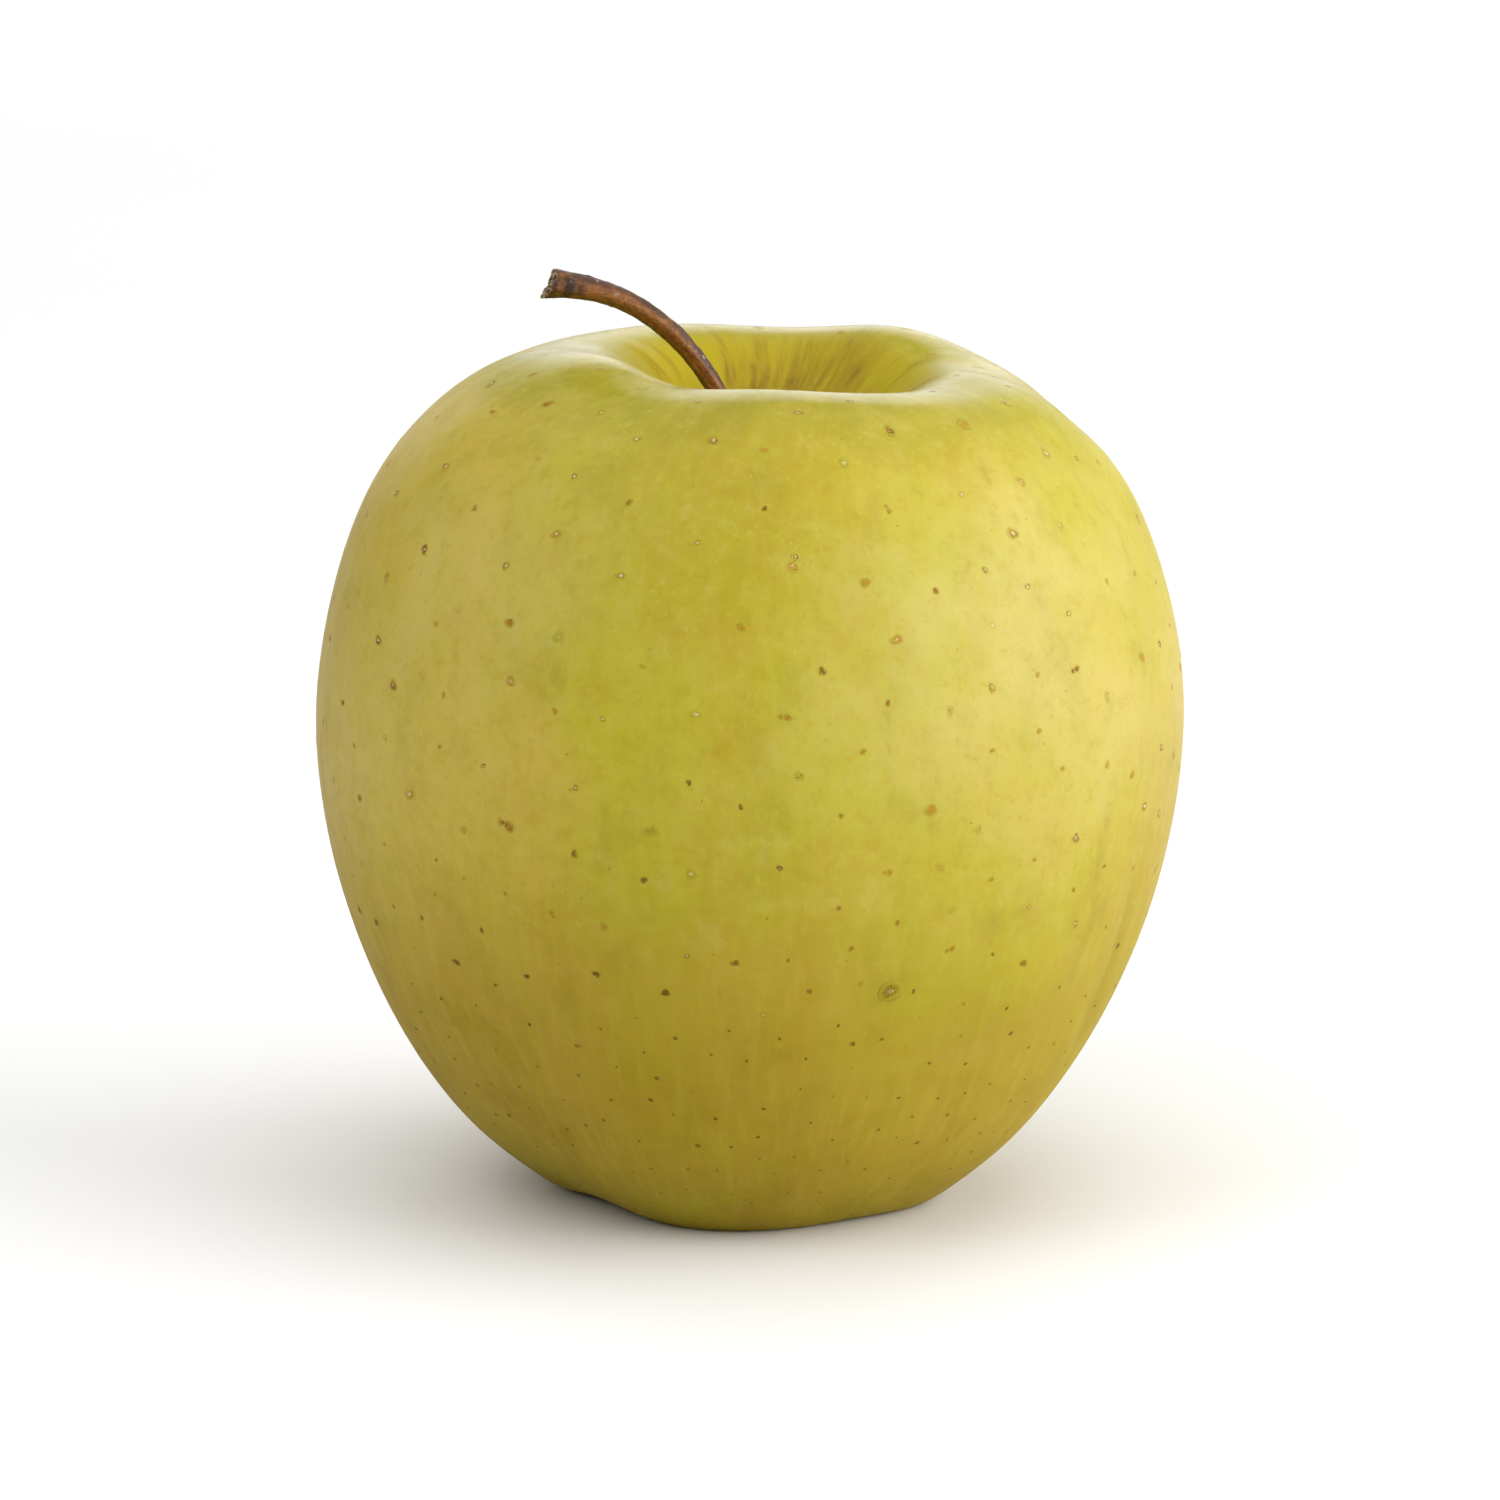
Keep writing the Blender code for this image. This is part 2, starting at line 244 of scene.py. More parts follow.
def draw_fruit(rings, sides):
    """Grid of surface points and normals, with each ring's share and outline point, and the azimuths."""
    shares = np.linspace(0.0, 1.0, rings)
    drawn = smooth_line(OUTLINE, shares)
    drawn[0, 0] = FIRST_RING_RADIUS
    radius = drawn[:, :1]
    height = drawn[:, 1:]
    azimuth = turn(sides)[None, :]
    points = swollen(lobed(radius, height, azimuth))
    normals = surface_normals(points)
    below = height < 30.0
    pucker_zone = fade(2.2, 4.5, radius) * fade(11.5, 6.5, radius) * below
    flute_zone = fade(2.0, 5.0, radius) * fade(17.0, 12.0, radius) * (height > 55.0)
    away_from_eye = fade(1.5, 5.0, radius)
    relief = DIMPLE_DEPTH * waves(points, DIMPLE_SIZE, 11) * away_from_eye
    relief = relief + RIPPLE_DEPTH * waves(points, RIPPLE_SIZE, 12) * away_from_eye
    relief = relief + PUCKER_DEPTH * folds(PUCKERS, azimuth) * pucker_zone
    relief = relief - CREASE_DEPTH * creased(points)
    relief = relief + CAVITY_FLUTE_DEPTH * folds(CAVITY_FLUTES, azimuth) * flute_zone
    points = points + normals * relief[..., None]
    points[..., 2] = np.maximum(points[..., 2], GROUND)
    return points, surface_normals(points), shares, azimuth[0], drawn


drawing = draw_fruit(FRUIT_RINGS, FRUIT_SIDES)
fruit_points, fruit_normals, fruit_shares, fruit_azimuths, fruit_drawn = drawing

# The drawing is moved and stretched so that its fruit fills the frame's fruit exactly.
fruit_low, fruit_high = (np.array(corner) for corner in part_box("fruit"))
drawn_low = fruit_points.reshape(-1, 3).min(axis=0)
drawn_high = fruit_points.reshape(-1, 3).max(axis=0)
STRETCH = (fruit_high - fruit_low) / (drawn_high - drawn_low)


def to_frame(points):
    """Millimetres of the drawing to metres of the frame."""
    return fruit_low + (np.asarray(points) - drawn_low) * STRETCH


# ---------------------------------------------------------------- meshes
def new_object(name, points, faces, material, marks=None):
    """Mesh object from drawn points; marks are named vectors kept on its vertices."""
    mesh = bpy.data.meshes.new(name)
    mesh.from_pydata(to_frame(points).tolist(), [], faces)
    for key, values in (marks or {}).items():
        layer = mesh.attributes.new(key, "FLOAT_VECTOR", "POINT")
        layer.data.foreach_set("vector", np.asarray(values, dtype=np.float32).ravel())
    mesh.validate()
    mesh.shade_smooth()
    mesh.materials.append(material)
    item = bpy.data.objects.new(name, mesh)
    bpy.context.scene.collection.objects.link(item)
    return item


def ring_faces(rings, sides):
    """Faces of a closed tube; its two tips are the points after the last ring."""
    faces = []
    for i in range(rings - 1):
        for j in range(sides):
            k = (j + 1) % sides
            low = i * sides
            high = low + sides
            faces.append((low + j, low + k, high + k, high + j))
    start_tip = rings * sides
    end_tip = start_tip + 1
    last = (rings - 1) * sides
    for j in range(sides):
        k = (j + 1) % sides
        faces.append((start_tip, k, j))
        faces.append((end_tip, last + j, last + k))
    return faces


def closed_tube(rings, start_tip, end_tip):
    """Points and faces of a closed tube from a rings-by-sides grid of points."""
    count, sides = rings.shape[:2]
    points = np.vstack((rings.reshape(-1, 3), [start_tip, end_tip]))
    return points, ring_faces(count, sides)


def join_bodies(bodies):
    """One list of points and faces, and one of marks, from many (points, faces, marks)."""
    points = np.vstack([body[0] for body in bodies])
    marks = np.vstack([body[2] for body in bodies])
    faces = []
    offset = 0
    for body_points, body_faces, _ in bodies:
        faces.extend(tuple(corner + offset for corner in face) for face in body_faces)
        offset += len(body_points)
    return points, faces, marks


def tube_rings(middle, radii, sides, first_axis=(0.0, 1.0, 0.0)):
    """Round rings about a middle line, and the line's directions."""
    along = unit(np.gradient(middle, axis=0))
    upper = unit(np.cross(first_axis, along))
    side = np.cross(along, upper)
    angle = turn(sides)[None, :, None]
    radii = np.asarray(radii)
    if radii.ndim == 1:
        radii = radii[:, None]
    offset = np.cos(angle) * upper[:, None] + np.sin(angle) * side[:, None]
    return middle[:, None] + radii[..., None] * offset, along


# ---------------------------------------------------------------- lenticels
# Height bands of the skin: (upper edge, spacing, smallest and largest radius of the mark,
# share with a pale middle, strength of the brown), in millimetres of the drawing.
LENTICEL_BANDS = (
    (9.0, 2.4, 0.10, 0.17, 0.0, 0.75),
    (22.0, 2.9, 0.12, 0.22, 0.0, 0.9),
    (36.0, 4.3, 0.15, 0.29, 0.08, 1.0),
    (54.0, 5.3, 0.20, 0.38, 0.3, 0.95),
    (80.0, 5.8, 0.22, 0.40, 0.75, 0.9),
)
LENTICEL_TRIES = 16000
LENTICEL_FREE_BASIN = 9.0
LENTICEL_FREE_CAVITY = 16.5
LENTICEL_FREE_FOOT = 0.4
LENTICEL_SEED = 2024
LENTICEL_SIDES = 12
SMALL_LENTICEL_SIDES = 8
SMALL_LENTICEL_RADIUS = 0.2
FULL_HEIGHT_RADIUS = 0.3
HALO_WIDTH = 1.9
PARTNER_SHARE = 0.06
PARTNER_DISTANCE = 2.2
PARTNER_SIZE = 0.7

# Larger single marks: (azimuth in degrees, height, radius, strengths of halo, brown and pale).
RUSSET_SPOTS = (
    (-70, 25, 0.62, (1.0, 0.7, 0.45)),
    (128, 50, 0.55, (0.8, 0.7, 0.3)),
)

# Profile of a lenticel from its edge inwards: (share of the halo's radius, height in
# millimetres, halo, brown, pale). The middle has no share, and the root lies in the skin.
LENTICEL_PROFILE = (
    (1.00, -0.020, 0.0, 0.0, 0.0),
    (0.78, 0.004, 0.45, 0.0, 0.0),
    (0.58, 0.009, 1.0, 0.40, 0.0),
    (0.42, 0.020, 1.0, 0.90, 0.1),
    (0.22, 0.017, 1.0, 1.0, 0.8),
)
LENTICEL_MIDDLE = (0.015, 1.0, 1.0, 1.0)
LENTICEL_ROOT_DEPTH = 0.08


def sample_fruit(ring, side):
    """Point and normal of the fruit's grid at a fractional ring and side."""
    low_ring = np.clip(np.floor(ring).astype(int), 0, FRUIT_RINGS - 2)
    low_side = np.floor(side).astype(int) % FRUIT_SIDES
    high_side = (low_side + 1) % FRUIT_SIDES
    up = (ring - low_ring)[..., None]
    over = (side - np.floor(side))[..., None]

    def blend(grid):
        below = grid[low_ring, low_side] * (1 - over) + grid[low_ring, high_side] * over
        above = grid[low_ring + 1, low_side] * (1 - over) + grid[low_ring + 1, high_side] * over
        return below * (1 - up) + above * up

    return blend(fruit_points), unit(blend(fruit_normals))


def lenticel_places(draw):
    """Seeded places on the skin, wide apart near the stem and close together near the calyx."""
    steps_up = np.linalg.norm(np.diff(fruit_points, axis=0), axis=-1)[:, :, None]
    steps_round = np.linalg.norm(np.roll(fruit_points, -1, axis=1) - fruit_points, axis=-1)
    steps_round = steps_round[:-1, :, None]
    area = (steps_up * steps_round).ravel()
    picks = draw.choice(len(area), size=LENTICEL_TRIES, p=area / area.sum())
    ring = picks // FRUIT_SIDES + draw.random(LENTICEL_TRIES)
    side = picks % FRUIT_SIDES + draw.random(LENTICEL_TRIES)
    points, normals = sample_fruit(ring, side)
    edges = np.array([band[0] for band in LENTICEL_BANDS])
    kept = []
    kept_points = np.empty((0, 3))
    for i in range(LENTICEL_TRIES):
        free = LENTICEL_FREE_CAVITY if points[i, 2] > CORE[2] else LENTICEL_FREE_BASIN
        from_axis = math.hypot(points[i, 0], points[i, 1])
        if from_axis < free or points[i, 2] < GROUND + LENTICEL_FREE_FOOT:
            continue
        band = LENTICEL_BANDS[int(np.searchsorted(edges, points[i, 2]))]
        room = band[1] * draw.uniform(0.75, 1.35)
        if len(kept) and np.min(np.sum((kept_points - points[i]) ** 2, axis=1)) < room ** 2:
            continue
        kept.append((points[i], normals[i], band))
        kept_points = np.vstack((kept_points, points[i]))
    return kept


def lenticel_body(point, normal, radius, strengths, draw, stretch=1.0):
    """Small closed lens on the skin, sunk at its edge, with its marks from edge to middle."""
    across = unit(np.cross((0.0, 0.0, 1.0), normal))
    along = np.cross(normal, across)
    sides = LENTICEL_SIDES if radius > SMALL_LENTICEL_RADIUS else SMALL_LENTICEL_SIDES
    angle = turn(sides)
    wobble = 1.0 + 0.16 * np.cos(2 * angle + draw.uniform(0, 6))
    wobble = wobble + 0.1 * np.cos(3 * angle + draw.uniform(0, 6))
    rings = []
    marks = []
    for share, height, halo, brown, pale in LENTICEL_PROFILE:
        reach = radius * HALO_WIDTH * share * (wobble if share < 0.9 else 1.0)
        rough = 1.0 + draw.uniform(-0.25, 0.25, sides) * (share < 0.5)
        offset = np.outer(reach * np.cos(angle) * stretch, across)
        offset = offset + np.outer(reach * np.sin(angle), along)
        raised = height * min(1.0, radius / FULL_HEIGHT_RADIUS)
        rings.append(point + offset + normal * raised * rough[:, None])
        marks.append(np.tile(np.multiply((halo, brown, pale), strengths), (sides, 1)))
    top = point + normal * LENTICEL_MIDDLE[0]
    root = point - normal * LENTICEL_ROOT_DEPTH
    points, faces = closed_tube(np.array(rings), root, top)
    middle = np.multiply(LENTICEL_MIDDLE[1:], strengths)
    return points, faces, np.vstack(marks + [(0.0, 0.0, 0.0), middle])


def make_lenticels(material):
    draw = np.random.default_rng(LENTICEL_SEED)
    bodies = []
    for point, normal, (_, _, smallest, largest, pale_share, brown) in lenticel_places(draw):
        radius = smallest + (largest - smallest) * draw.random() ** 1.4
        pale = draw.uniform(0.55, 1.0) if draw.random() < pale_share else draw.uniform(0.0, 0.15)
        share = draw.uniform(0.75, 1.1) if draw.random() < 0.8 else draw.uniform(0.25, 0.5)
        strength = brown * share
        strengths = (draw.uniform(0.3, 1.0), min(strength, 1.0), pale)
        stretch = draw.uniform(0.85, 1.3)
        bodies.append(lenticel_body(point, normal, radius, strengths, draw, stretch))
        if draw.random() < PARTNER_SHARE:
            sideways = unit(np.cross(normal, draw.normal(size=3)))
            partner = point + sideways * radius * PARTNER_DISTANCE
            bodies.append(lenticel_body(partner, normal, radius * PARTNER_SIZE, strengths, draw))
    for azimuth, height, radius, strengths in RUSSET_SPOTS:
        way = np.array((math.cos(math.radians(azimuth)), math.sin(math.radians(azimuth)), 0.0))
        aimed = way * SKIN_REACH + (0.0, 0.0, height)
        nearest = np.argmin(np.sum((fruit_points - aimed) ** 2, axis=-1))
        ring, side = np.unravel_index(nearest, fruit_points.shape[:2])
        point = fruit_points[ring, side]
        bodies.append(lenticel_body(point, fruit_normals[ring, side], radius, strengths, draw))
    points, faces, strengths = join_bodies(bodies)
    marks = {"mark": strengths, "tone": skin_tones(points), "sleek_and_painted_light": skin_sleek_and_painted_light(points)}
    return new_object("lenticels", points, faces, material, marks)


# ---------------------------------------------------------------- materials
class Shader:
    """Builds one Principled material from a few kinds of procedural node."""

    def __init__(self, name):
        self.material = bpy.data.materials.new(name)
        self.material.use_nodes = True
        self.tree = self.material.node_tree
        self.surface = self.tree.nodes["Principled BSDF"]
        place = self.tree.nodes.new("ShaderNodeTexCoord")
        self.place = self.scaled(place.outputs["Object"], 1.0 / MM)

    def scaled(self, vector, factor):
        node = self.tree.nodes.new("ShaderNodeVectorMath")
        node.operation = "MULTIPLY"
        self.tree.links.new(vector, node.inputs[0])
        node.inputs[1].default_value = (factor,) * 3 if isinstance(factor, float) else factor
        return node.outputs["Vector"]

    def feed(self, socket, value):
        if isinstance(value, bpy.types.NodeSocket):
            self.tree.links.new(value, socket)
        elif isinstance(value, tuple) and len(value) == 3 and len(socket.default_value) == 4:
            socket.default_value = (*value, 1.0)
        else:
            socket.default_value = value

    def noise(self, size, detail=3.0, roughness=0.55, vector=None):
        node = self.tree.nodes.new("ShaderNodeTexNoise")
        self.feed(node.inputs["Vector"], vector or self.place)
        node.inputs["Scale"].default_value = 1.0 / size
        node.inputs["Detail"].default_value = detail
        node.inputs["Roughness"].default_value = roughness
        return node.outputs["Fac"]

    def cells(self, size, vector=None):
        node = self.tree.nodes.new("ShaderNodeTexVoronoi")
        self.feed(node.inputs["Vector"], vector or self.place)
        node.inputs["Scale"].default_value = 1.0 / size
        return node.outputs["Distance"]

    def steps(self, value, low, high, to_low=0.0, to_high=1.0):
        node = self.tree.nodes.new("ShaderNodeMapRange")
        node.interpolation_type = "SMOOTHSTEP"
        self.feed(node.inputs["Value"], value)
        ends = {"From Min": low, "From Max": high, "To Min": to_low, "To Max": to_high}
        for key, number in ends.items():
            node.inputs[key].default_value = number
        return node.outputs["Result"]

    def maths(self, kind, first, second=0.0):
        node = self.tree.nodes.new("ShaderNodeMath")
        node.operation = kind
        self.feed(node.inputs[0], first)
        self.feed(node.inputs[1], second)
        return node.outputs["Value"]

    def mix(self, factor, first, second, kind="MIX"):
        node = self.tree.nodes.new("ShaderNodeMix")
        node.data_type = "RGBA"
        node.blend_type = kind
        colours = [socket for socket in node.inputs if socket.type == "RGBA"]
        self.feed(node.inputs["Factor"], factor)
        self.feed(colours[0], first)
        self.feed(colours[1], second)
        return next(socket for socket in node.outputs if socket.type == "RGBA")

    def vector_mark(self, name):
        """The mesh's named mark as one vector."""
        node = self.tree.nodes.new("ShaderNodeAttribute")
        node.attribute_name = name
        return node.outputs["Vector"]

    def mark(self, name):
        """The three values of the mesh's named mark."""
        split = self.tree.nodes.new("ShaderNodeSeparateXYZ")
        self.tree.links.new(self.vector_mark(name), split.inputs[0])
        return split.outputs["X"], split.outputs["Y"], split.outputs["Z"]

    def relief(self, height, depth):
        node = self.tree.nodes.new("ShaderNodeBump")
        node.inputs["Strength"].default_value = 1.0
        node.inputs["Distance"].default_value = depth * MM
        self.feed(node.inputs["Height"], height)
        self.feed(self.surface.inputs["Normal"], node.outputs["Normal"])

    def finish(self, colour, roughness, **constants):
        self.feed(self.surface.inputs["Base Color"], colour)
        self.feed(self.surface.inputs["Roughness"], roughness)
        for key, value in constants.items():
            self.surface.inputs[key.replace("_", " ")].default_value = value
        return self.material


GREEN = (0.425, 0.375, 0.010)
GOLD = (0.495, 0.362, 0.036)
# deep green of the mottling, also painted shade on the shoulder round the cavity and along the creases
DEEP_GREEN_AND_SHADE = (0.300, 0.262, 0.000)
OCHRE = (0.405, 0.275, 0.006)
# olive brown towards the bottom: partly real colour, partly painted shade
OLIVE_BROWN_AND_SHADE = (0.205, 0.119, 0.000)
# painted shade colour
PAINTED_SHADE = (0.330, 0.215, 0.000)
# pale colour of the mottling, also painted highlight on the cheeks
PALE_AND_PAINTED_HIGHLIGHT = (0.580, 0.485, 0.160)
PALE_STREAK = (0.500, 0.450, 0.045)
PALE_FLECK = (0.560, 0.500, 0.110)
CAVITY_GREEN = (0.395, 0.315, 0.000)
CAVITY_RUSSET = (0.215, 0.112, 0.000)
RUSSET = (0.210, 0.115, 0.020)
HALO_GREEN = (0.270, 0.232, 0.002)
SPOT_BROWN = (0.175, 0.060, 0.002)
SPOT_DARK = (0.085, 0.050, 0.002)
SPOT_ORANGE = (0.390, 0.205, 0.012)
SPOT_PALE = (0.580, 0.495, 0.250)

# Broad tints of the skin, among them pale patches of painted highlight and darker patches of painted shade:
# (azimuth in degrees, height and reach in millimetres, strength).
WARM_PATCHES = (
    (-142, 50, 24, 1.0), (-152, 18, 22, 1.0), (-100, 6, 16, 0.5), (-14, 38, 9, 0.7),
    (-58, 14, 14, 0.35), (38, 48, 24, 0.9), (112, 30, 22, 0.8), (170, 60, 16, 0.6), (75, 68, 12, 0.5),
)
GREEN_PATCHES = (
    (-98, 60, 19, 0.8), (-95, 38, 13, 0.6), (-42, 30, 11, 0.7), (-5, 64, 16, 0.5),
    (72, 26, 18, 0.8), (150, 62, 18, 0.7), (-170, 34, 14, 0.5),
)
# Olive patches low on the fruit: partly real olive colour, partly painted shade.
OLIVE_AND_SHADE_PATCHES = ((-145, 14, 34, 1.0), (40, 10, 30, 0.6))
# Pale patches on the cheeks: painted highlight.
PAINTED_HIGHLIGHT_PATCHES = (
    (-38, 52, 20, 1.0), (-12, 54, 15, 0.4), (-143, 56, 17, 1.0), (-92, 44, 11, 0.2),
    (-70, 56, 12, 0.5), (48, 44, 22, 0.8), (128, 52, 14, 0.7),
)
# Painted shade: darker patches at the left and right edges, below the front of the rim and low on the fruit.
PAINTED_SHADE_PATCHES = (
    (-14, 34, 14, 0.62), (-174, 52, 15, 0.55), (-178, 28, 15, 0.45), (-95, 72, 12, 0.5),
    (-60, 4, 12, 0.3), (-102, 19, 12, 0.32), (95, 12, 16, 0.5),
)
CAVITY_STREAK_PATCHES = ((62, 70, 7, 0.7), (88, 69, 4, 0.8), (-150, 70, 6, 0.7), (-40, 70, 6, 0.5))
SKIN_REACH = 36.0
CAVITY_REACH = 10.0


def skin_material(name):
    """Waxy yellow-green skin; on the lenticels the mark attribute adds halo, brown and pale."""
    s = Shader(name)
    grain = s.vector_mark("grain")
    in_cavity, in_basin, floor = s.mark("zone")
    warm, olive_and_shade, deep_and_shade = s.mark("tone")
    # lower roughness near the stem, pale patches of painted highlight, darker patches of painted shade
    sleek, painted_highlight, painted_shade = s.mark("sleek_and_painted_light")
    halo, brown, pale = s.mark("mark")
    streaked = s.mark("lining")[0]

    broad = s.steps(s.noise(17.0, 3.0, 0.55), 0.3, 0.7, -0.5, 0.5)
    warmth = s.steps(s.maths("ADD", warm, broad), -0.6, 0.9)
    colour = s.mix(warmth, GREEN, GOLD)
    bands = s.noise(0.3, 3.0, 0.6, s.scaled(grain, (1.0, 1.0, 0.3)))
    colour = s.mix(s.steps(bands, 0.5, 0.7, 0.0, 0.4), colour, OCHRE)
    colour = s.mix(s.steps(bands, 0.5, 0.3, 0.0, 0.35), colour, GREEN)
    cloud = s.noise(6.0, 5.0, 0.65)
    colour = s.mix(s.steps(cloud, 0.47, 0.74, 0.0, 0.6), colour, OCHRE)
    green_cloud = s.noise(7.0, 5.0, 0.65, s.scaled(s.place, (1.0, 1.0, 0.55)))
    colour = s.mix(s.steps(green_cloud, 0.5, 0.72, 0.0, 0.6), colour, DEEP_GREEN_AND_SHADE)
    # deeper green on the shoulder round the cavity, partly painted shade, and painted shade along the creases
    colour = s.mix(s.maths("MULTIPLY", deep_and_shade, s.steps(cloud, 0.35, 0.65, 0.55, 1.0)), colour, DEEP_GREEN_AND_SHADE)
    # darker olive towards the bottom: partly real colour, partly painted shade
    low_olive_and_shade = s.maths("MULTIPLY", olive_and_shade, s.steps(s.noise(9.0, 4.0, 0.6), 0.3, 0.75, 0.7, 1.0))
    colour = s.mix(s.maths("MULTIPLY", low_olive_and_shade, 0.75), colour, OLIVE_BROWN_AND_SHADE)
    # pale patches: painted highlight
    painted_highlight_cloud = s.maths("MULTIPLY", painted_highlight, s.steps(s.noise(8.0, 3.0, 0.55), 0.3, 0.7, 0.55, 1.0))
    colour = s.mix(s.maths("MULTIPLY", painted_highlight_cloud, 0.62), colour, PALE_AND_PAINTED_HIGHLIGHT)
    # darker patches: painted shade
    painted_shade_cloud = s.maths("MULTIPLY", painted_shade, s.steps(s.noise(4.0, 4.0, 0.6), 0.3, 0.7, 0.7, 1.0))
    colour = s.mix(painted_shade_cloud, colour, PAINTED_SHADE)

    not_low = s.steps(olive_and_shade, 0.1, 0.6, 1.0, 0.15)
    medium = s.noise(2.7, 4.0, 0.65)
    colour = s.mix(s.steps(medium, 0.5, 0.7, 0.0, 0.24), colour, DEEP_GREEN_AND_SHADE)
    colour = s.mix(s.maths("MULTIPLY", s.steps(medium, 0.5, 0.25, 0.0, 0.2), not_low), colour, PALE_AND_PAINTED_HIGHLIGHT)
    lengthwise = s.noise(0.03, 3.0, 0.6, s.scaled(grain, (1.0, 1.0, 0.16)))
    colour = s.mix(s.steps(lengthwise, 0.46, 0.74, 0.0, 0.17), colour, PALE_STREAK)
    fine = s.noise(1.1, 5.0, 0.75)
    colour = s.mix(s.steps(fine, 0.5, 0.7, 0.0, 0.38), colour, OCHRE)
    colour = s.mix(s.maths("MULTIPLY", s.steps(fine, 0.5, 0.28, 0.0, 0.34), not_low), colour, PALE_STREAK)
    fleck = s.cells(0.8, s.scaled(s.place, (1.0, 1.0, 0.55)))
    fleck_zone = s.maths("SUBTRACT", s.steps(s.noise(5.0, 2.0, 0.5), 0.42, 0.62), olive_and_shade)
    colour = s.mix(s.maths("MULTIPLY", s.steps(fleck, 0.26, 0.08, 0.0, 0.25), fleck_zone), colour, PALE_FLECK)
    speck = s.cells(2.3)
    colour = s.mix(s.steps(speck, 0.052, 0.025, 0.0, 0.55), colour, SPOT_BROWN)

    streak = s.noise(0.06, 4.0, 0.62, s.scaled(grain, (1.0, 1.0, 0.3)))
    broad_streak = s.noise(0.22, 2.0, 0.5, s.scaled(grain, (1.0, 1.0, 0.35)))
    streaks = s.maths("ADD", s.maths("MULTIPLY", streak, 0.5), s.maths("MULTIPLY", broad_streak, 0.5))
    streaks = s.maths("ADD", streaks, s.maths("MULTIPLY", streaked, 0.11))
    lining = s.mix(s.steps(streaks, 0.48, 0.74), CAVITY_GREEN, CAVITY_RUSSET)
    lining = s.mix(s.steps(s.noise(1.6, 4.0, 0.6), 0.4, 0.7, 0.0, 0.5), lining, OCHRE)
    colour = s.mix(s.maths("MULTIPLY", in_cavity, 0.85), colour, lining)
    basin_tint = s.mix(s.steps(streak, 0.5, 0.68), DEEP_GREEN_AND_SHADE, RUSSET)
    colour = s.mix(s.maths("MULTIPLY", in_basin, 0.6), colour, basin_tint)
    patch = s.noise(2.6, 4.0, 0.65)
    rays = s.maths("ADD", s.maths("MULTIPLY", patch, 0.7), s.maths("MULTIPLY", streaks, 1.6))
    russet = s.steps(s.maths("ADD", floor, rays), 1.25, 2.15)
    colour = s.mix(russet, colour, RUSSET)

    crumbs = s.noise(0.17, 2.0, 0.55)
    ragged = s.steps(crumbs, 0.25, 0.75, -0.4, 0.4)
    colour = s.mix(s.maths("MULTIPLY", halo, 0.5), colour, HALO_GREEN)
    ragged_brown = s.maths("MULTIPLY", ragged, s.steps(brown, 0.0, 0.3))
    spot = s.steps(s.maths("ADD", brown, ragged_brown), 0.15, 0.85)
    spot_brown = s.mix(s.steps(s.noise(2.4, 2.0, 0.5), 0.42, 0.62), SPOT_ORANGE, SPOT_BROWN)
    # lenticels darker towards the bottom, following the partly painted shade
    spot_brown = s.mix(s.steps(olive_and_shade, 0.25, 0.6, 0.0, 0.8), spot_brown, SPOT_DARK)
    colour = s.mix(s.maths("MULTIPLY", spot, 0.9), colour, spot_brown)
    ragged_pale = s.maths("MULTIPLY", ragged, s.steps(pale, 0.0, 0.3, 0.0, 1.4))
    flake = s.steps(s.maths("ADD", pale, ragged_pale), 0.4, 0.9)
    colour = s.mix(flake, colour, SPOT_PALE)

    rough = s.steps(s.noise(3.5, 3.0, 0.6), 0.3, 0.7, 0.43, 0.51)
    rough = s.maths("SUBTRACT", rough, s.maths("MULTIPLY", sleek, 0.22))
    rough = s.maths("ADD", rough, s.maths("MULTIPLY", brown, 0.25))
    rough = s.maths("ADD", rough, s.maths("MULTIPLY", olive_and_shade, 0.32))
    rough = s.maths("ADD", rough, s.maths("MULTIPLY", in_cavity, 0.15))
    rough = s.maths("ADD", rough, s.maths("MULTIPLY", russet, 0.25))
    bumps = s.maths("ADD", s.maths("MULTIPLY", s.noise(0.5, 3.0, 0.6), 0.5), s.noise(1.6, 2.0, 0.5))
    s.relief(bumps, 0.016)
    return s.finish(
        colour, rough,
        Subsurface_Weight=0.12, Subsurface_Radius=(0.0022, 0.0016, 0.0004),
        Coat_Weight=0.03, Coat_Roughness=0.3, IOR=1.27,
    )


STEM_UPPER = (0.075, 0.028, 0.012)
STEM_MIDDLE = (0.195, 0.068, 0.011)
STEM_WARM = (0.300, 0.118, 0.020)
STEM_LOWER = (0.095, 0.062, 0.010)
STEM_SCALE = (0.430, 0.370, 0.300)
STEM_CUT = (0.360, 0.235, 0.110)
STEM_DARK = (0.030, 0.014, 0.009)
CALYX_DARK = (0.060, 0.034, 0.016)
CALYX_LIGHT = (0.190, 0.120, 0.055)
CALYX_TIP = (0.260, 0.185, 0.100)
STAMEN_DARK = (0.035, 0.020, 0.012)
STAMEN_LIGHT = (0.120, 0.070, 0.030)
STAMEN_TIP = (0.210, 0.130, 0.060)


